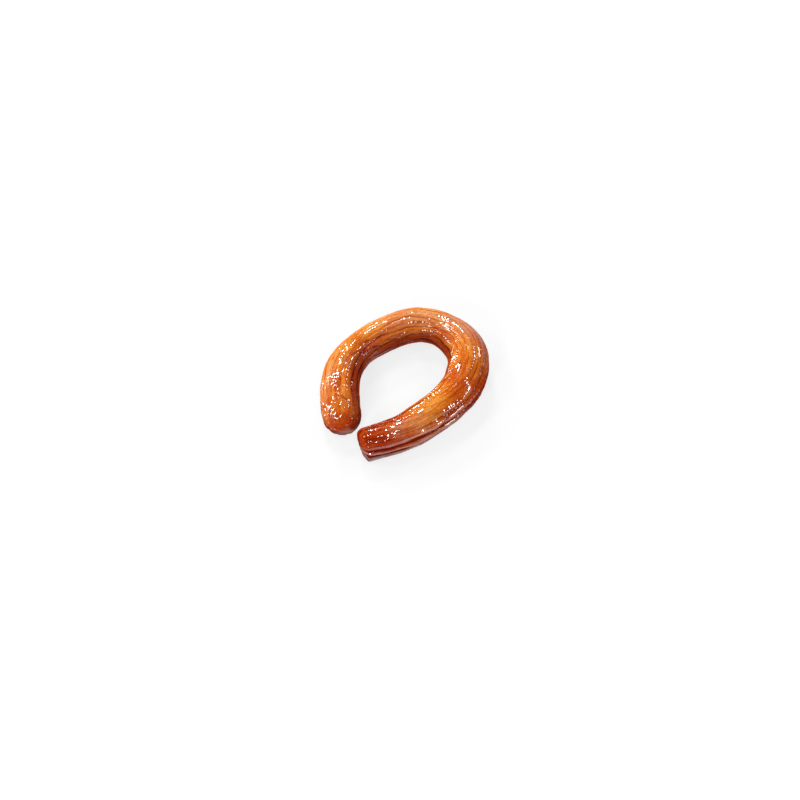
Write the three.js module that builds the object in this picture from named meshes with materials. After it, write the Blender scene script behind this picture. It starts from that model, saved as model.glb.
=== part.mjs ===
// A ring churro: a rope of dough, piped through a star nozzle into one open loop, fried and soaked in
// syrup. It starts at a rounded end, runs once round a drop-shaped hole and stops at a blunt cut end
// that lies close beside the start.
// Millimetres, +Z up. The ring lies flat on z = 0, and the origin is the middle of its outline there.
import * as THREE from "three";
import { mergeVertices } from "three/addons/utils/BufferGeometryUtils.js";

// The rope's middle line seen from above, with its thickness: x, y and half the thickness.
const ROPE = [
  [-34.5, -35.0, 10.9], // tip of the rounded end
  [-37.0, -4.0, 11.4],
  [-29.0, 19.5, 10.2],
  [-2.0, 37.5, 10.5],
  [21.0, 37.0, 10.3],
  [36.0, 18.5, 11.8],
  [31.0, -7.5, 11.7],
  [4.0, -32.0, 10.7],
  [-25.0, -44.0, 9.9], // middle of the cut end
];
const ROUNDED_END = { length: 11, power: 2 }; // from full thickness to the tip, and how square it is
const CUT_END = { length: 4, power: 2.8 };

// The ridges that the star nozzle leaves.
const RIDGES = 12;
const GROOVE_TOP = 0.85; // depth where the dough swelled and smoothed out
const GROOVE_SIDE = 1.7; // depth on the flanks and underneath
const GROOVE_WANDER = 0.07; // radians that a groove strays sideways between its two ridges
const END_TWIST = THREE.MathUtils.degToRad(38); // the last stretch was turned as the nozzle left it
const END_TWIST_LENGTH = 75;

// Frying and resting.
const LUMP = 0.28; // how far slow swellings stand out
const CRAG = 0.16; // small bumps along the ridges
const SUNK = 0.8; // how much of the round underside is pressed flat by resting

// The mesh: corners on each ridge, rows on each end and rows between the ends.
const CORNERS_PER_RIDGE = 4;
const END_ROWS = 8;
const BODY_ROWS = 98;

const { smoothstep, lerp } = THREE.MathUtils;
const middle = new THREE.CatmullRomCurve3(
  ROPE.map((p) => new THREE.Vector3(...p)),
  false,
  "catmullrom",
);
middle.arcLengthDivisions = 800;
const length = middle.getLength();

// Where a row of corners sits, from 0 at the rounded tip to 1 at the cut face: how far along the rope
// it is, and its share of the full thickness there.
function station(along) {
  const row = along * (BODY_ROWS + 2 * END_ROWS);
  const endRow = (rows, end) => {
    const swing = (rows / END_ROWS) * (Math.PI / 2);
    return {
      inset: end.length * (1 - Math.cos(swing) ** (2 / end.power)),
      share: Math.sin(swing) ** (2 / end.power),
    };
  };
  if (row < END_ROWS) {
    const { inset, share } = endRow(row, ROUNDED_END);
    return { at: inset, share };
  }
  if (row > END_ROWS + BODY_ROWS) {
    const { inset, share } = endRow(BODY_ROWS + 2 * END_ROWS - row, CUT_END);
    return { at: length - inset, share };
  }
  const between = (row - END_ROWS) / BODY_ROWS;
  return { at: lerp(ROUNDED_END.length, length - CUT_END.length, between), share: 1 };
}

// Round lobes with sharp grooves between them: 0 on a ridge, 1 at the bottom of a groove.
const groove = (ridge) => 1 - Math.abs(Math.cos(Math.PI * ridge));

// Slow swellings of the whole rope, and small bumps that follow each ridge.
const lumps = (at, angle) =>
  LUMP * (Math.sin(at / 5.3 + 2 * Math.cos(angle)) + 0.6 * Math.sin(at / 2.9 + 3 * angle));
function crags(at, ridge) {
  const crest = Math.round(ridge) % RIDGES;
  return CRAG * Math.sin(at * 1.45 + 2.1 * crest) * Math.cos(at * 0.31 + crest);
}

// The corner of the skin at a share of the rope's length and at a given ridge, where a fraction lies
// between two ridges. Ridge 0 runs along the outer side of the ring, and the count goes up over the top.
function skin(along, ridge) {
  const { at, share } = station(along);
  const centre = middle.getPointAt(at / length);
  const thickness = centre.z;
  const ahead = middle.getTangentAt(at / length).setZ(0).normalize();

  const twist = END_TWIST * smoothstep(at, length - END_TWIST_LENGTH, length);
  const wander = GROOVE_WANDER * Math.sin(at / 11 + ridge * 1.7) * groove(ridge);
  const angle = (ridge / RIDGES) * 2 * Math.PI + twist + wander;
  const upward = Math.sin(angle);

  const depth = lerp(GROOVE_SIDE, GROOVE_TOP, smoothstep(upward, -0.2, 0.9));
  const onBody = smoothstep(share, 0.25, 1);
  const relief = lumps(at, angle) + crags(at, ridge) - depth * groove(ridge);
  const radius = share * (thickness + onBody * relief);

  const outward = new THREE.Vector3(ahead.y, -ahead.x, 0).multiplyScalar(-Math.cos(angle) * radius);
  const height = Math.max(0, thickness - SUNK + upward * radius);
  return new THREE.Vector3(centre.x, centre.y, height).add(outward);
}

// A closed ball of corners, pulled out into the rope: its upper pole is the cut end, its lower pole the
// tip of the rounded end.
function rope() {
  const corners = RIDGES * CORNERS_PER_RIDGE;
  const ball = new THREE.SphereGeometry(1, corners, BODY_ROWS + 2 * END_ROWS);
  const { position, uv } = ball.attributes;
  for (let i = 0; i < position.count; i++) {
    const ridge = (Math.round(uv.getX(i) * corners) % corners) / CORNERS_PER_RIDGE;
    const corner = skin(uv.getY(i), ridge);
    position.setXYZ(i, corner.x, corner.y, corner.z);
  }
  ball.deleteAttribute("normal");
  ball.deleteAttribute("uv");
  const closed = mergeVertices(ball, 1e-4);
  closed.computeBoundingBox();
  const { min, max } = closed.boundingBox;
  closed.translate(-(min.x + max.x) / 2, -(min.y + max.y) / 2, 0);
  closed.computeVertexNormals();
  return closed;
}

const friedDough = new THREE.MeshStandardMaterial({ color: 0xbb5f1f, roughness: 0.3, metalness: 0 });
const churro = new THREE.Mesh(rope(), friedDough);
churro.name = "churro";

const part = new THREE.Group();
part.add(churro);
export default part;
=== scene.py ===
"""A ring churro soaked in syrup: one ridged rope of fried dough, bent into a loop on a pale table.

The rope is made straight first: piped as a round bar with two closed ends, its ridges pressed in, and
roughened as frying does. Then it is twisted, bent along the ring and set down on its flat sole.
"""
import math

import bmesh
import bpy
import numpy as np
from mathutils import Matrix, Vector, noise


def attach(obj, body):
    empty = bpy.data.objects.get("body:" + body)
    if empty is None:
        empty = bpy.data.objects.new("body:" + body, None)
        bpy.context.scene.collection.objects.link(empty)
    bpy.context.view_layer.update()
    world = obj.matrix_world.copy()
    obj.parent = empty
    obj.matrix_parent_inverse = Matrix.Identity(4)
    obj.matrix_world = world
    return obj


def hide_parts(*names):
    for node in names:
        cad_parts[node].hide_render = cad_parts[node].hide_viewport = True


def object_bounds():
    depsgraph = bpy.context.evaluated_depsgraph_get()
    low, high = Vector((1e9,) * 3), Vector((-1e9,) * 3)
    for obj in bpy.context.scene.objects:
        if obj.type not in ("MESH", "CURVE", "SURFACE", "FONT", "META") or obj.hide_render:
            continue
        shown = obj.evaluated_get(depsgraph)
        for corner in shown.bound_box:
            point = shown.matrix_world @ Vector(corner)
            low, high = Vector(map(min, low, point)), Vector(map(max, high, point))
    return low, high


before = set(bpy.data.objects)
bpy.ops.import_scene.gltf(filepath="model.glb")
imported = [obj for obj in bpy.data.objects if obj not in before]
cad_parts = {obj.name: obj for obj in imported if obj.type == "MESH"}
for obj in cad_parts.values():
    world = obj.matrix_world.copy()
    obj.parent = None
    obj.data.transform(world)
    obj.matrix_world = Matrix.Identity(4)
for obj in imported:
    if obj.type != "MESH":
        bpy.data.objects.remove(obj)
solid_low, solid_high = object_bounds()

MM = 0.001

# ---------------------------------------------------------------- the rope and its two ends

# The rope's middle line seen from above, with half its thickness, all in millimetres.
ROPE = [
    (-34.5, -35.0, 10.9),  # tip of the rounded end
    (-37.0, -4.0, 11.4),
    (-29.0, 19.5, 10.2),
    (-2.0, 37.5, 10.5),
    (21.0, 37.0, 10.3),
    (36.0, 18.5, 11.8),
    (31.0, -7.5, 11.7),
    (4.0, -32.0, 10.7),
    (-25.0, -44.0, 9.9),  # middle of the cut end
]
LINE_STEPS = 48  # straight pieces of the middle line between two of its points
SUNK = 0.8 * MM  # how much of the round underside is pressed flat
BAR_RADIUS = 11 * MM  # the straight bar's, before the bend gives each stretch its own
END_TWIST = math.radians(38)  # how far the last stretch is turned
END_TWIST_LENGTH = 75 * MM

# Each end's length, and how square it is: 2 is round, more is blunter.
ROUNDED_END = 11 * MM
ROUNDED_END_SQUARENESS = 2
CUT_END = 4 * MM
CUT_END_SQUARENESS = 2.8

# The mesh of the bar.
RIDGES = 12
CORNERS = RIDGES * 14
ROUNDED_ROWS = 28
CUT_ROWS = 22
BODY_SPLITS = (31, 15)  # cuts of the long faces, one after the other
LONG_EDGE = 2 * MM  # only the edges along the body are longer

# ---------------------------------------------------------------- the relief of the skin

# The ridges that the star nozzle leaves.
GROOVE_TOP = 0.5 * MM
GROOVE_SIDE = 1.5 * MM
GROOVE_DEEPEST = 1.5 * GROOVE_SIDE
SEAM_TOP = 0.15 * MM  # the narrow line at the bottom of each groove
SEAM_SIDE = 0.3 * MM
THREAD = 0.12 * MM  # the faint lines that a ridge has along it
RIDGE_TURN = 0.35  # how far round the grooves have shifted by the cut end, in widths of a ridge

# The small bumps, in rows along the ridges and scattered.
BEAD = 0.25 * MM  # height
BEAD_SPACING = 2.0 * MM
BEAD_WIDTH = 0.65 * MM  # from a row's middle to where its beads are a third as high
SPECK_CELL = 2.4 * MM  # how far apart the scattered bumps are

# What pushes the skin in and out: on which part, the length and width of a cell of the pattern and how
# high it is, in millimetres, and the direction.
CLOUDS = [
    ("skin", 15, 15, 1.0, "RGB_TO_XYZ"),  # the whole rope wanders
    ("skin", 14, 8, 0.6, "NORMAL"),  # swellings
    ("tip", 5, 4, 0.7, "NORMAL"),  # blobs
    ("skin", 4.4, 3, 0.26, "NORMAL"),  # dents
]

# Where the skin changes along the rope: each change begins at the first place and is complete at the
# second. They are in millimetres from the rounded tip, or back from the cut end if below zero.
NOSE_ENDS = (3, 12)
TIP_ENDS = (8, 26)
SPOTS_END = (18, 46)  # the bumps of the rounded end are scattered, and then come the rows
RIDGES_BEGIN = (4, 24)
DULL_ENDS = (155, 170)  # the patches of painted shade are less wet up to here
# The painted shade on the side towards the hole fades and ends at these places.
HOLE_SHADE_FADES = (50, 80)
HOLE_SHADE_ENDS = (160, 180)
HOLE_SHADE_BEGINS = (math.radians(108), math.radians(160))  # this one is round the rope
CUT_RIDGES_BEGIN = (-75, -35)  # the grooves are deep and even
CUT_DARKENS = (-45, -8)
CUT_FACE_BEGINS = (-24, -7)
BEADS_THIN_OUT = (-24, -10)
BEADS_END = (-8, -5)

# Strokes on the skin. Each is given by how far along the rope its middle is in millimetres, how far
# round it in degrees from the outer side over the top, how far it is turned from lengthwise in degrees,
# its length and, but for the creases, its width, both in millimetres.

# Creases on the insides of the bends, on the outer edge and near the ends.
CREASES = [
    (9, 62, 55, 9),
    (15, 118, -35, 10),
    (40, 10, 35, 12),
    (51, 122, 28, 12),
    (57, 142, 38, 13),
    (62, 118, 24, 10),
    (66, 152, 42, 12),
    (72, 130, 20, 12),
    (79, 158, 30, 10),
    (100, 15, 30, 11),
    (112, 150, -30, 9),
    (133, 8, -40, 10),
    (138, 160, 62, 9),
    (160, 150, 80, 9),
    (167, 138, 35, 10),
    (186, 20, -25, 13),
    (204, 12, 18, 12),
    (215, 110, 15, 9),
]
CREASE_WIDTH = 0.8
CREASE_SHOULDER = 2.2  # how much wider the raised skin beside a crease is
CREASE_STRAY = 0.8  # how far a crease swings to either side
CREASE_SWING = 2.2  # how far along a crease one radian of its swing is
CREASE_DEPTH = 0.45 * MM

# Drops of syrup that stand out from the skin.
DROPS = [
    (6, 71, 40, 3, 0.9),
    (11.5, 63, 20, 4, 1.0),
    (23, 86, 0, 4, 0.7),
    (26, 84, 60, 5, 0.7),
    (120, 122, 0, 9, 0.8),
    (129.5, 97, 0, 6, 0.7),
    (141, 158, 0, 7, 1.2),
    (146, 150, 0, 9, 1.4),
    (155, 126, 0, 4, 0.9),
    (164, 70, 0, 7, 1.0),
    (167, 57, 0, 7, 1.0),
    (181, 48, 0, 14, 0.6),
    (191, 38, 0, 4, 0.8),
    (195, 81, 0, 6, 0.9),
    (200.5, 25, 5, 4, 0.9),
    (209, 73, 8, 6, 1.0),
    (210.5, 52, 10, 5, 1.1),
    (212, 41, 10, 6, 1.2),
    (212.5, 65, 8, 5, 0.9),
    (217, 42, 0, 3, 1.0),
    (217, 62, 0, 3, 0.8),
    (223.5, 33, 0, 4, 0.7),
    (225, 76, 20, 4, 0.8),
]
DROP_HEIGHT = 0.3 * MM

# Patches where the film of syrup is thick and lies smooth, and thin lines of it on the outer side.
GLAZED = [
    (58, 18, 0, 60, 1.6),
    (62, 196, 0, 40, 3),
    (106, 40, 0, 86, 3.5),
    (120, 96, 3, 14, 1.5),
    (130, 62, 0, 36, 5),
    (150, 200, 0, 40, 3),
]
SYRUP_LINES = [
    (50, 26, 9, 44, 0.6),
    (70, 52, 9, 60, 0.7),
]

# Patches with a painted sheen, patches of painted shade, and patches with shallow grooves and few beads.
# Painted sheen: patches where the colour turns a pale tan.
PAINTED_SHEEN = [
    (30, 60, 10, 34, 3),
    (60, 230, 0, 60, 5),
    (106, 98, 0, 70, 7),
    (200, 42, 8, 14, 2.2),
    (205, 66, 0, 30, 3),
    (212, 38, 8, 10, 2),
]
# Painted shade: patches darkened on the outer flank and on the side towards the hole.
SHADED_PATCHES = [
    (30, 152, 0, 60, 6),
    (60, 142, 0, 48, 5),
    (150, 24, 0, 110, 6),
]
SMOOTH = [
    (63, 104, 28, 14, 2.6),
    (72, 62, 6, 70, 4.5),
    (146, 106, 0, 64, 2.4),
    (182, 92, 0, 44, 3),
    (194, 74, 0, 60, 4),
]

# ---------------------------------------------------------------- the colours and finishes

# The dough's own colours, each with its place on the scale from 0 to 1 of a slow pattern.
DOUGH = [(0.35, (0.285, 0.05, 0.004)), (0.5, (0.345, 0.093, 0.008)), (0.66, (0.38, 0.134, 0.018))]
DOUGH_CELL = (22, 14)  # the pattern's length and width in millimetres
DOUGH_DETAIL = 2
# The pale tan of the painted sheen.
PAINTED_SHEEN_TAN = (0.38, 0.15, 0.05, 1)

# Finer patterns that the colour is multiplied by: length, width, detail and colours.
SAME = (1, 1, 1)
PATTERNS = [
    (14, 1.5, 3, [(0.36, (0.83, 0.65, 0.6)), (0.52, SAME), (0.68, (1.1, 1.3, 1.7))]),  # streaks
    (1.7, 1.2, 2, [(0.36, (0.88, 0.72, 0.66)), (0.5, SAME), (0.66, (1.06, 1.18, 1.3))]),  # mottles
]
# What it is multiplied by where the corners keep these values: the first darkens the lines in the
# grooves and the creases, partly as darker pooled syrup and partly as painted shade; the second is
# painted shade on the flanks and towards the hole; the third darkens the rows of beads; the last darkens
# the fried ends and is painted shade in the shaded patches.
TINTS = [
    ("hollow_shade", [(0.05, SAME), (0.55, (0.55, 0.24, 0.28)), (1, (0.2, 0.08, 0.12))]),
    ("shade", [(0.1, SAME), (0.9, (0.5, 0.2, 0.28))]),
    ("crest", [(0.1, SAME), (0.9, (0.7, 0.45, 0.4))]),
    ("toasted_and_shade", [(0.1, SAME), (0.9, (0.72, 0.34, 0.4))]),
]

# The plain values of the two materials. How strong the dough's coat of syrup is comes from its corners.
SYRUP_DOUGH = {
    "Roughness": 0.3,
    "Specular IOR Level": 0,
    "Coat Roughness": 0.03,
    "Coat IOR": 2.4,
    "Subsurface Weight": 0.3,
    "Subsurface Radius": (1, 0.3, 0.08),
    "Subsurface Scale": 2 * MM,
}
LEAST_WET = 0.01  # the coat is nowhere quite gone
PALE_PAPER = {
    "Base Color": (0.12, 0.12, 0.12, 1),
    "Roughness": 0.9,
    "Specular IOR Level": 0,
    "Emission Color": (1, 1, 1, 1),
    "Emission Strength": 0.75,
}

# ---------------------------------------------------------------- the studio, in metres

TABLE_RADIUS = 1.6
TABLE_CORNERS = 96
SWEEP_ROWS = 8  # rows of faces that turn the table's rim up
SWEEP_TURN = math.radians(10)  # how much steeper each row is than the one before
SWEEP_ROW_HEIGHT = 0.1  # of an upright row
SWEEP_ROW_WIDENING = 0.06  # of a flat row

# Name, turn from the camera's side towards +X, height above the table's plane, both in degrees, how far
# and how wide, and how bright.
LAMPS = [
    ("back_left", -163, 54, 1.3, 0.28, 34),
    ("low_back", -170, 32, 1.3, 0.28, 36),
    ("rim", -162, 7, 1.3, 0.26, 40),
    ("left_back", -132, 33, 1.3, 0.24, 36),
    ("low_left_back", -124, 5, 1.3, 0.26, 36),
    ("left", -85, 48, 1.3, 0.26, 34),
    ("low_front", -24, 30, 1.3, 0.34, 46),
    ("front", 8, 66, 1.3, 0.26, 32),
    ("low_left", -97, 10, 1.3, 0.26, 36),
    ("right", 94, 50, 1.3, 0.22, 28),
    ("low_right", 66, 20, 1.3, 0.26, 16),
    ("right_back", 132, 34, 1.3, 0.2, 32),
    ("behind", 175, 24, 1.6, 1.5, 0.5),
]
RING_MIDDLE = Vector((0, 0, 10 * MM))  # what the lamps point at
ROOM_LIGHT = 0.18

CAMERA_STEEPNESS = math.radians(56)  # how far it looks down
CAMERA_AIM = Vector((-2.97 * MM, -12.87 * MM, 11 * MM))
CAMERA_AWAY = 1.0757
CAMERA_LENS = 85  # in millimetres, as the sensor
CAMERA_SENSOR = 36


# ---------------------------------------------------------------- small helpers


def alone(piece):
    """Selects one piece and nothing else, for the operators."""
    bpy.ops.object.select_all(action="DESELECT")
    piece.select_set(True)
    bpy.context.view_layer.objects.active = piece


def rename(piece, name):
    piece.name = name
    piece.data.name = name
    return piece


def pick_corners(piece, wanted):
    """In edit mode: selects the corners whose place is wanted, with the edges between them."""
    bpy.ops.mesh.select_all(action="DESELECT")
    mesh = bmesh.from_edit_mesh(piece.data)
    for corner in mesh.verts:
        if wanted(corner.co):
            corner.select_set(True)
    mesh.select_flush(True)
    bmesh.update_edit_mesh(piece.data)


def pick_edges(piece, wanted):
    """In edit mode: selects the edges whose run from one end to the other is wanted."""
    bpy.ops.mesh.select_all(action="DESELECT")
    bpy.ops.mesh.select_mode(type="EDGE")
    mesh = bmesh.from_edit_mesh(piece.data)
    for edge in mesh.edges:
        if wanted(edge.verts[1].co - edge.verts[0].co):
            edge.select_set(True)
    bmesh.update_edit_mesh(piece.data)


def apply_modifier(piece, kind, **settings):
    """Adds one modifier, sets it and applies it."""
    alone(piece)
    modifier = piece.modifiers.new(kind.title(), kind)
    for setting, value in settings.items():
        setattr(modifier, setting, value)
    bpy.ops.object.modifier_apply(modifier=modifier.name)


def places(piece):
    """All corners of a mesh, one row each."""
    flat = np.empty(len(piece.data.vertices) * 3, np.float32)
    piece.data.vertices.foreach_get("co", flat)
    return flat.reshape(-1, 3).astype(float)


def weigh(piece, name, weights):
    """Makes a vertex group from one weight for each corner, without those too small to show."""
    group = piece.vertex_groups.new(name=name)
    for corner, weight in enumerate(weights):
        if weight > 0.001:
            group.add([corner], float(weight), "REPLACE")


def keep(piece, name, values):
    """Keeps a value or a place for each corner, for the material to read."""
    kind, field = ("FLOAT", "value") if values.ndim == 1 else ("FLOAT_VECTOR", "vector")
    attribute = piece.data.attributes.new(name, kind, "POINT")
    attribute.data.foreach_set(field, values.astype(np.float32).ravel())


def rise(low, high, values):
    """0 below low, 1 above high, and a soft slope between."""
    share = np.clip((values - low) / (high - low), 0, 1)
    return share * share * (3 - 2 * share)


def between(start, end, share):
    """The value at a share of the way from one value to another."""
    return start + (end - start) * share


def wave(turns):
    """1 at whole numbers of turns, 0 halfway between them."""
    return 0.5 + 0.5 * np.cos(2 * math.pi * turns)


def chance(first, second):
    """A number from 0 to 1 for each pair of numbers, as good as random and the same each run."""
    return np.sin(12.9898 * first + 78.233 * second) * 43758.5453 % 1


# ---------------------------------------------------------------- the straight bar


def close_end(outward, length, rows, squareness):
    """Draws the picked open end out into a closed one: each row a little further and narrower."""
    reached = 0
    share = 1
    for row in range(1, rows + 1):
        swing = math.pi / 2 * (1 - row / rows)
        next_reach = length * math.cos(swing) ** (2 / squareness)
        step = outward * (next_reach - reached)
        bpy.ops.mesh.extrude_region_move(TRANSFORM_OT_translate={"value": (step, 0, 0)})
        if row < rows:
            next_share = math.sin(swing) ** (2 / squareness)
            narrower = next_share / share
            bpy.ops.transform.resize(value=(1, narrower, narrower), center_override=(0, 0, 0))
            share = next_share
        reached = next_reach
    bpy.ops.mesh.merge(type="CENTER")


def piped_bar(length):
    """A straight round bar along X with a rounded end at 0 and a blunt cut end."""
    bpy.ops.object.select_all(action="DESELECT")
    bpy.ops.mesh.primitive_circle_add(
        vertices=CORNERS,
        radius=BAR_RADIUS,
        location=(ROUNDED_END, 0, 0),
        rotation=(0, math.pi / 2, 0),
    )
    bar = rename(bpy.context.object, "churro_rope")
    bpy.ops.object.transform_apply(location=True, rotation=True, scale=True)

    body = length - ROUNDED_END - CUT_END
    bpy.ops.object.mode_set(mode="EDIT")
    bpy.ops.mesh.select_all(action="SELECT")
    bpy.ops.mesh.extrude_region_move(TRANSFORM_OT_translate={"value": (body, 0, 0)})
    close_end(1, CUT_END, CUT_ROWS, CUT_END_SQUARENESS)
    pick_corners(bar, lambda place: abs(place.x - ROUNDED_END) < 0.1 * MM)
    close_end(-1, ROUNDED_END, ROUNDED_ROWS, ROUNDED_END_SQUARENESS)

    for cuts in BODY_SPLITS:
        pick_edges(bar, lambda run: abs(run.x) > LONG_EDGE)
        bpy.ops.mesh.subdivide(number_cuts=cuts)
    bpy.ops.mesh.select_mode(type="VERT")
    bpy.ops.mesh.select_all(action="SELECT")
    bpy.ops.mesh.normals_make_consistent(inside=False)
    bpy.ops.object.mode_set(mode="OBJECT")
    return bar


# ---------------------------------------------------------------- ridges and skin


class Bar:
    """Where each corner of the straight bar is: along it, round it, on its ridges and in its patches."""

    def __init__(self, bar, length):
        self.length = length
        self.spots = places(bar)
        self.along = self.spots[:, 0]
        self.angle = np.arctan2(self.spots[:, 2], self.spots[:, 1])

        # Which way each corner will face in the ring, from -1 to 1.
        twist = END_TWIST * rise(length - END_TWIST_LENGTH, length, self.along)
        self.upward = np.sin(self.angle + twist)
        self.outward = np.cos(self.angle + twist)
        self.top = rise(-0.2, 0.9, self.upward)
        self.flank = 1 - rise(-0.1, 0.6, self.upward)

        # Its ridge, where a fraction lies between two ridges. The grooves stray a little sideways.
        turned = rise(length - END_TWIST_LENGTH, length - 0.4 * END_TWIST_LENGTH, self.along)
        self.ridge = self.angle / (2 * math.pi) * RIDGES + RIDGE_TURN * turned
        self.ridge = self.ridge + 0.32 * self.drift(28, 9) + 0.12 * self.drift(10, 5, 7)
        self.groove = 1 - np.abs(np.cos(math.pi * self.ridge))
        self.seam = rise(0.68, 1, self.groove)
        self.thread = rise(0.6, 1, 1 - np.abs(np.cos(2 * math.pi * self.ridge)))

        # The ends. The ridges die away towards the middle of each, and on the whole tip.
        share = np.hypot(self.spots[:, 1], self.spots[:, 2]) / BAR_RADIUS
        self.on_body = rise(0.25, 1, share) * (0.25 + 0.75 * self.past(RIDGES_BEGIN))
        self.nose = 1 - self.past(NOSE_ENDS)
        self.tip = 1 - self.past(TIP_ENDS)
        self.spotted = 1 - self.past(SPOTS_END)
        self.ridged = self.past(CUT_RIDGES_BEGIN) * (1 - rise(0.65, 0.92, self.upward))
        self.darkened = self.past(CUT_DARKENS)
        self.face = self.past(CUT_FACE_BEGINS)

        # The patches, and how deep the grooves are in them.
        # The patches of painted shade, which are also less wet.
        self.toasted_and_shade = self.nearest(SHADED_PATCHES)
        self.dull = self.toasted_and_shade * (1 - self.past(DULL_ENDS))
        self.smooth = self.nearest(SMOOTH)
        self.sharpness = 0.8 + 0.6 * self.drift(18, 8, 3)
        self.sharpness = self.sharpness * (1 - 0.7 * self.smooth) + 0.8 * self.ridged

    def past(self, change):
        """0 before a change along the rope, 1 after it, and a soft slope between."""
        begin, end = [place * MM + (self.length if place < 0 else 0) for place in change]
        return rise(begin, end, self.along)

    def drift(self, long, wide, shift=0):
        """Soft random values between about -1 and 1, in patches of a size in millimetres."""
        cells = self.spots / np.array((long * MM, wide * MM, wide * MM)) + shift
        return np.array([noise.noise(Vector(cell)) for cell in cells])

    def specks(self):
        """Small domes at random places: 1 on the top of the highest, 0 away from them."""
        apart = [noise.voronoi(Vector(cell))[0][0] for cell in self.spots / SPECK_CELL]
        return 1 - rise(0.1, 0.42, np.array(apart))

    def row(self, shift=0.0):
        """How near each corner is to the middle of a row of beads: 1 on it, 0 away from it."""
        beside = (self.ridge + shift + 0.5) % 1 - 0.5
        beside = beside * 2 * math.pi * BAR_RADIUS / RIDGES
        return np.exp(-((beside / BEAD_WIDTH) ** 2))

    def beads(self, shift=0.0):
        """The rows of beads: 1 on the top of a large bead, 0 away from it.

        About one bead in ten is missing, and one three in eight has run together.
        """
        number = np.round(self.ridge + shift) % RIDGES + 31 * shift
        turn = self.along / BEAD_SPACING + 0.38 * number + 0.7 * self.drift(7, 4, 20)
        draw = chance(np.round(turn), number)
        size = rise(0.06, 0.16, draw) * (0.55 + 0.45 * draw)
        joined = 0.8 * rise(0.86, 0.9, chance(np.round(turn / 3), number + 50))
        return self.row(shift) * np.maximum(size * wave(turn), joined * np.sqrt(wave(turn / 3)))

    def stroke(self, along, angle, turn, long, wide, stray=0.0):
        """How near each corner is to one stroke on the skin: 1 on it, 0 away from it."""
        turn = math.radians(turn)
        forward = self.along - along * MM
        around = (self.angle - math.radians(angle) + math.pi) % (2 * math.pi) - math.pi
        sideways = around * BAR_RADIUS
        down_it = forward * math.cos(turn) + sideways * math.sin(turn)
        off_it = sideways * math.cos(turn) - forward * math.sin(turn)
        off_it = off_it + stray * MM * np.sin(down_it / (CREASE_SWING * MM))
        tapered = np.clip(1 - (down_it / (long * MM / 2)) ** 2, 0, 1)
        return tapered * np.exp(-((off_it / (wide * MM)) ** 2))

    def nearest(self, strokes):
        """The nearest of some strokes: 1 on it, 0 away from it."""
        return np.max([self.stroke(*stroke) for stroke in strokes], axis=0)

    def creases(self, wide):
        """The nearest of the creases, at a width."""
        return self.nearest([(*crease, wide, CREASE_STRAY) for crease in CREASES])


def bead_strength(at):
    """How strong the beads are in the rows on the ridges, and in the rows between them."""
    on_ridges = 0.2 + 0.8 * rise(-0.35, 0.25, at.drift(10, 5, 5))
    on_ridges = on_ridges * (1 - rise(0, 0.7, at.smooth)) * (1 - 0.5 * at.spotted) * at.on_body
    on_ridges = on_ridges * (1 - 0.2 * at.ridged) * (1 - 0.6 * at.past(BEADS_THIN_OUT))
    on_ridges = on_ridges * (1 - at.past(BEADS_END))
    in_grooves = 0.6 * rise(-0.1, 0.3, at.drift(14, 5, 15))
    in_grooves = in_grooves * (1 - at.smooth) * (1 - at.spotted) * at.on_body
    return on_ridges, in_grooves


def relief(at, on_ridges, in_grooves):
    """How much of each kind of relief each corner has, from 0 to 1, and where the clouds act."""
    groove_depth = at.sharpness * between(GROOVE_SIDE, GROOVE_TOP, at.top)
    seam_depth = at.sharpness * between(SEAM_SIDE, SEAM_TOP, at.top)
    threaded = rise(-0.2, 0.4, at.drift(14, 5, 11)) * (1 - at.smooth)

    scattered = np.maximum(at.spotted, 0.8 * rise(0.1, 0.4, at.drift(12, 6, 25)))
    scattered = scattered * (1 - at.smooth) * (1 - 0.5 * at.ridged) * (1 - 0.7 * at.darkened)
    scattered = scattered * (1 - 0.7 * at.dull) * (1 - 0.6 * at.nose)
    bumps = [at.beads() * on_ridges, at.beads(0.5) * in_grooves, at.specks() * scattered]
    return {
        "grooves": at.groove * at.on_body * groove_depth / GROOVE_DEEPEST,
        "seams": at.seam * at.on_body * seam_depth / SEAM_SIDE,
        "threads": at.thread * at.on_body * np.maximum(threaded, at.ridged),
        "creases": at.creases(CREASE_WIDTH),
        "bumps": np.max(bumps, axis=0),
        "drops": at.nearest(DROPS),
        "skin": 0.35 + 0.65 * at.on_body,
        "tip": at.tip,
    }


def shading(at, marks):
    """Painted shade on the flanks and towards the hole, and how dark the lines and hollows are, which is
    partly painted shade.
    """
    # Painted shade: darker on the side towards the hole, and on the flanks.
    in_hole = rise(*HOLE_SHADE_BEGINS, at.angle)
    in_hole = in_hole * (1 - at.past(HOLE_SHADE_ENDS))
    in_hole = in_hole * (0.75 - 0.7 * at.past(HOLE_SHADE_FADES))
    shade = np.maximum(at.flank, in_hole)

    # The dark line in a groove, partly darker syrup and partly painted shade, is narrow on the top, and
    # wider on the flanks and by the cut end.
    wide_line = rise(0.35 - 0.15 * at.ridged, 0.9 - 0.2 * at.ridged, at.groove)
    lines = between(0.6 * at.seam, wide_line, np.maximum(shade, at.ridged))
    lines = lines * at.on_body * np.clip(at.sharpness, 0.4, 1)
    lines = lines * (1 - 0.2 * at.ridged)
    # The darkest of these: the lines, painted shade in the creases, the threads by the cut end and the
    # cut face.
    hollow_shade = [lines, 0.6 * marks["creases"], 0.75 * at.thread * at.darkened, 0.22 * at.face]
    return shade, lines, np.max(hollow_shade, axis=0)


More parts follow.
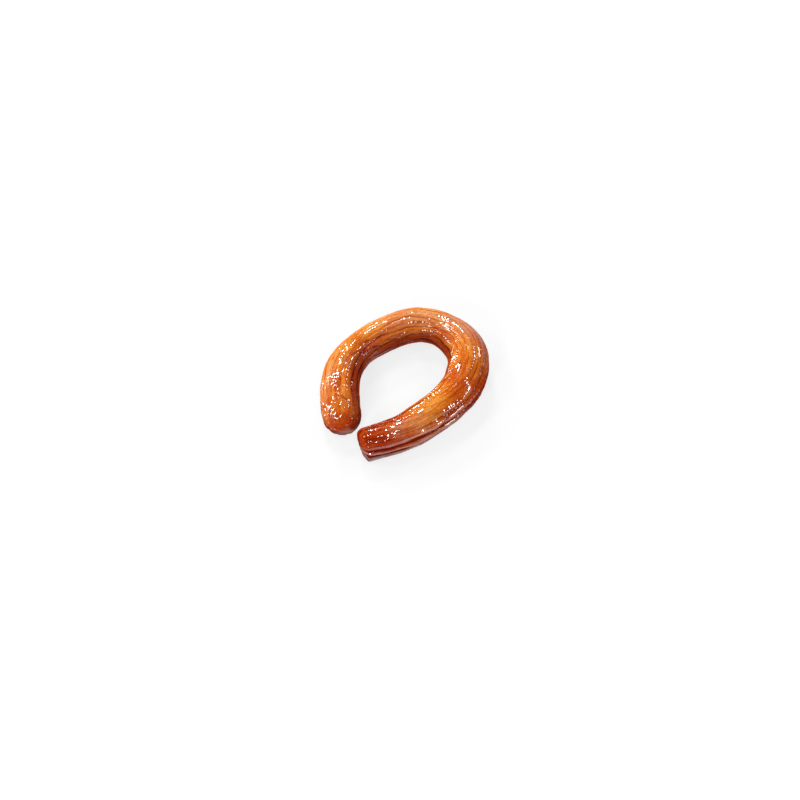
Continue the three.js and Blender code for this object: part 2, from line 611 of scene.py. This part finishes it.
def syrup_film(at, marks, lines):
    """How thick the wet film is at each corner."""
    shiny = rise(0.08, 0.32, marks["bumps"]) * (1 - 0.75 * at.flank) * (1 - 0.6 * at.dull)
    dripped = at.nose * rise(4 * MM, -2 * MM, at.spots[:, 2])
    dripped = dripped * np.exp(-((at.spots[:, 1] / MM + 1) / 5) ** 2)
    crests = at.ridged * (1 - rise(0.15, 0.5, at.groove)) * rise(-0.2, 0.3, at.outward)
    crests = crests * (0.6 + 0.4 * rise(-0.3, 0.2, at.drift(5, 2, 30)))
    shoulders = at.creases(CREASE_SHOULDER * CREASE_WIDTH)
    shoulders = shoulders * (1 - marks["creases"]) * (1 - at.ridged)
    film = [
        shiny,  # on the bumps
        rise(0.2, 0.5, marks["drops"]),
        at.nearest(SYRUP_LINES),
        0.45 * at.nearest(GLAZED) * (1 - lines),
        0.85 * dripped,  # low on the tip
        crests,  # on the outer ridges by the cut end
        0.4 * shoulders,  # beside the creases
    ]
    drained = 0.4 + 0.6 * rise(-0.75, -0.25, at.upward)  # it is thin on the underside
    return np.maximum(LEAST_WET, np.max(film, axis=0) * drained)


def press(piece, group, depth):
    """Pushes the skin in by a depth where the group's weight is 1."""
    apply_modifier(piece, "DISPLACE", strength=-depth, mid_level=0, vertex_group=group)


def roughen(piece, group, long, wide, height, direction):
    """Pushes the skin in and out by clouds of a size, all in millimetres."""
    texture = bpy.data.textures.new("clouds", "CLOUDS")
    texture.noise_scale = 1
    texture.noise_depth = 1
    if direction == "RGB_TO_XYZ":
        texture.cloud_type = "COLOR"
    bpy.ops.object.empty_add(location=(0, 0, 0))
    cell = bpy.context.object
    cell.scale = (long * MM, wide * MM, wide * MM)
    bpy.context.view_layer.update()
    apply_modifier(
        piece,
        "DISPLACE",
        texture=texture,
        texture_coords="OBJECT",
        texture_coords_object=cell,
        strength=height * MM,
        mid_level=0.5,
        vertex_group=group,
        direction=direction,
    )
    bpy.data.objects.remove(cell)
    bpy.data.textures.remove(texture)


def fry(bar, length):
    """Gives the skin its relief, and keeps what the material has to know of each corner."""
    at = Bar(bar, length)
    on_ridges, in_grooves = bead_strength(at)
    marks = relief(at, on_ridges, in_grooves)
    for name, weights in marks.items():
        weigh(bar, name, weights)

    shade, lines, hollow_shade = shading(at, marks)
    # Darker where the ends fried darker, and painted shade in the shaded patches.
    toasted_and_shade = [at.tip * (1 - 0.6 * at.top), at.nose, (0.8 + 0.2 * at.face) * at.darkened, at.toasted_and_shade]
    keep(bar, "straight", at.spots)
    keep(bar, "hollow_shade", hollow_shade)
    # Painted shade on the flanks and on the side towards the hole.
    keep(bar, "shade", shade)
    keep(bar, "crest", np.maximum(at.row() * on_ridges, at.row(0.5) * in_grooves))
    keep(bar, "wet", syrup_film(at, marks, lines))
    keep(bar, "toasted_and_shade", np.max(toasted_and_shade, axis=0))
    # Painted sheen, where the pale tan is mixed in.
    keep(bar, "pale", at.nearest(PAINTED_SHEEN))

    press(bar, "grooves", GROOVE_DEEPEST)
    press(bar, "seams", SEAM_SIDE)
    press(bar, "threads", THREAD)
    press(bar, "creases", CREASE_DEPTH)
    for cloud in CLOUDS:
        roughen(bar, *cloud)
    apply_modifier(bar, "SMOOTH", factor=0.5, iterations=1)
    press(bar, "bumps", -BEAD)
    press(bar, "drops", -DROP_HEIGHT)
    bar.vertex_groups.clear()


# ---------------------------------------------------------------- the ring


def ring_line():
    """The rope's middle line as a curve, which carries its thickness as the radius, and its length."""
    points = [Vector((x * MM, y * MM, half * MM - SUNK)) for x, y, half in ROPE]
    bpy.ops.curve.primitive_bezier_curve_add()
    line = bpy.context.object
    line.data.dimensions = "3D"
    line.data.resolution_u = LINE_STEPS
    line.data.twist_mode = "Z_UP"
    spline = line.data.splines[0]
    spline.bezier_points.add(len(points) - len(spline.bezier_points))
    spline.radius_interpolation = "CARDINAL"
    last = len(points) - 1
    for i, knot in enumerate(spline.bezier_points):
        before = points[max(i - 1, 0)]
        after = points[min(i + 1, last)]
        reach = (after - before) / (3 if i in (0, last) else 6)  # a third of the way to a neighbour
        knot.handle_left_type = "FREE"
        knot.handle_right_type = "FREE"
        knot.co = points[i]
        knot.handle_left = points[i] - reach
        knot.handle_right = points[i] + reach
        knot.radius = ROPE[i][2] * MM / BAR_RADIUS
        knot.tilt = -math.pi / 2  # so that the top of the bar comes up
    return line, spline.calc_length()


def bend(bar, line, length):
    """Twists the last stretch, bends the bar along the ring and sets it down on its flat sole."""
    apply_modifier(
        bar,
        "SIMPLE_DEFORM",
        deform_method="TWIST",
        deform_axis="X",
        angle=END_TWIST,
        limits=(1 - END_TWIST_LENGTH / length, 1),
    )
    apply_modifier(bar, "CURVE", object=line, deform_axis="POS_X")
    bpy.data.objects.remove(line)

    bpy.ops.object.mode_set(mode="EDIT")
    pick_corners(bar, lambda place: place.z < 0)
    bpy.ops.transform.resize(value=(1, 1, 0), center_override=(0, 0, 0))
    bpy.ops.object.mode_set(mode="OBJECT")
    fit(bar)
    bpy.ops.object.shade_smooth()


def fit(piece):
    """Stretches and moves the piece so that it fills the solid's own box."""
    spots = places(piece)
    low, high = spots.min(0), spots.max(0)
    middle = (low + high) / 2
    aim = (solid_low + solid_high) / 2
    scale = [(solid_high[i] - solid_low[i]) / (high[i] - low[i]) for i in range(3)]
    bpy.ops.object.mode_set(mode="EDIT")
    bpy.ops.mesh.select_all(action="SELECT")
    bpy.ops.transform.resize(value=scale, center_override=tuple(middle))
    bpy.ops.transform.translate(value=[aim[i] - middle[i] for i in range(3)])
    bpy.ops.object.mode_set(mode="OBJECT")


# ---------------------------------------------------------------- finishes


def new_material(name, values):
    """A material with its shader's plain values set. Gives back both."""
    material = bpy.data.materials.new(name)
    material.use_nodes = True
    shader = material.node_tree.nodes["Principled BSDF"]
    for socket, value in values.items():
        shader.inputs[socket].default_value = value
    return material, shader


def syrup_dough():
    """Mottled fried dough under a coat of syrup, darker where its ends are toasted, with painted shade
    in its hollows, on its flanks and in shaded patches, and a painted sheen in pale patches.
    """
    material, shader = new_material("syrup_dough", SYRUP_DOUGH)
    nodes = material.node_tree.nodes
    link = material.node_tree.links.new

    def kept(name, output="Fac"):
        made = nodes.new("ShaderNodeAttribute")
        made.attribute_name = name
        return made.outputs[output]

    straight = kept("straight", "Vector")

    def pattern(long, wide, detail):
        mapping = nodes.new("ShaderNodeMapping")
        mapping.inputs["Scale"].default_value = [1 / (size * MM) for size in (long, wide, wide)]
        link(straight, mapping.inputs["Vector"])
        texture = nodes.new("ShaderNodeTexNoise")
        texture.inputs["Scale"].default_value = 1
        texture.inputs["Detail"].default_value = detail
        link(mapping.outputs["Vector"], texture.inputs["Vector"])
        return texture.outputs["Fac"]

    def ramp(value, stops):
        made = nodes.new("ShaderNodeValToRGB")
        elements = made.color_ramp.elements
        while len(elements) < len(stops):
            elements.new(0.5)
        for element, (position, colour) in zip(elements, stops):
            element.position = position
            element.color = (*colour, 1)
        link(value, made.inputs["Fac"])
        return made.outputs["Color"]

    def feed(socket, value):
        """Gives a socket a plain value, or joins it to another node's output."""
        if isinstance(value, bpy.types.NodeSocket):
            link(value, socket)
        else:
            socket.default_value = value

    def mix(blend, share, first, second):
        made = nodes.new("ShaderNodeMix")
        made.data_type = "RGBA"
        made.blend_type = blend
        colours = [socket for socket in made.inputs if socket.type == "RGBA"]
        feed(made.inputs["Factor"], share)
        feed(colours[0], first)
        feed(colours[1], second)
        return [socket for socket in made.outputs if socket.type == "RGBA"][0]

    dough = ramp(pattern(*DOUGH_CELL, DOUGH_DETAIL), DOUGH)
    # Painted sheen: the colour turns pale tan in patches.
    colour = mix("MIX", kept("pale"), dough, PAINTED_SHEEN_TAN)
    layers = [ramp(pattern(long, wide, detail), stops) for long, wide, detail, stops in PATTERNS]
    # The tints darken it: painted shade, darker syrup in the grooves and the darker fried ends.
    layers += [ramp(kept(name), stops) for name, stops in TINTS]
    for layer in layers:
        colour = mix("MULTIPLY", 1, colour, layer)
    link(colour, shader.inputs["Base Color"])
    link(kept("wet"), shader.inputs["Coat Weight"])
    return material


# ---------------------------------------------------------------- studio


def table():
    """A pale round sweep: flat under the ring and turned up far away."""
    bpy.ops.object.select_all(action="DESELECT")
    bpy.ops.mesh.primitive_circle_add(vertices=TABLE_CORNERS, radius=TABLE_RADIUS, fill_type="TRIFAN")
    sweep = rename(bpy.context.object, "table")
    bpy.ops.object.mode_set(mode="EDIT")
    pick_corners(sweep, lambda place: place.length > TABLE_RADIUS / 2)
    for row in range(1, SWEEP_ROWS + 1):
        turn = SWEEP_TURN * row
        up = SWEEP_ROW_HEIGHT * math.sin(turn)
        wider = 1 + SWEEP_ROW_WIDENING * math.cos(turn)
        bpy.ops.mesh.extrude_region_move(TRANSFORM_OT_translate={"value": (0, 0, up)})
        bpy.ops.transform.resize(value=(wider, wider, 1), center_override=(0, 0, 0))
    bpy.ops.object.mode_set(mode="OBJECT")
    bpy.ops.object.shade_smooth()
    paper, _ = new_material("pale_paper", PALE_PAPER)
    paper.cycles.emission_sampling = "NONE"
    sweep.data.materials.append(paper)


def lamps():
    """Round lamps about the ring, whose reflections make the glints, in a dim white room."""
    for name, turn, height, away, wide, bright in LAMPS:
        turn = math.radians(turn)
        height = math.radians(height)
        flat = math.cos(height)
        towards = Vector((math.sin(turn) * flat, -math.cos(turn) * flat, math.sin(height)))
        bpy.ops.object.light_add(type="AREA", location=RING_MIDDLE + towards * away)
        lamp = bpy.context.object
        lamp.name = name
        lamp.rotation_euler = towards.to_track_quat("Z", "Y").to_euler()
        lamp.data.shape = "DISK"
        lamp.data.size = wide
        lamp.data.energy = bright * math.pi * math.pi * (wide / 2) ** 2  # as bright at any width
    world = bpy.data.worlds.new("room")
    bpy.context.scene.world = world
    world.use_nodes = True
    background = world.node_tree.nodes["Background"]
    background.inputs["Color"].default_value = (1, 1, 1, 1)
    background.inputs["Strength"].default_value = ROOM_LIGHT


def camera():
    """Looks down on the ring from the front."""
    back = Vector((0, -math.cos(CAMERA_STEEPNESS), math.sin(CAMERA_STEEPNESS)))
    bpy.ops.object.camera_add(
        location=CAMERA_AIM + back * CAMERA_AWAY,
        rotation=(math.pi / 2 - CAMERA_STEEPNESS, 0, 0),
    )
    made = bpy.context.object
    made.data.lens = CAMERA_LENS
    made.data.sensor_width = CAMERA_SENSOR
    made.data.clip_start = 0.01
    made.data.clip_end = 20
    bpy.context.scene.camera = made
    bpy.context.scene.view_settings.view_transform = "Standard"


# ---------------------------------------------------------------- all together

line, length = ring_line()
rope = piped_bar(length)
fry(rope, length)
bend(rope, line, length)
rope.data.materials.clear()
rope.data.materials.append(syrup_dough())
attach(rope, "root")
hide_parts("churro")

table()
lamps()
camera()
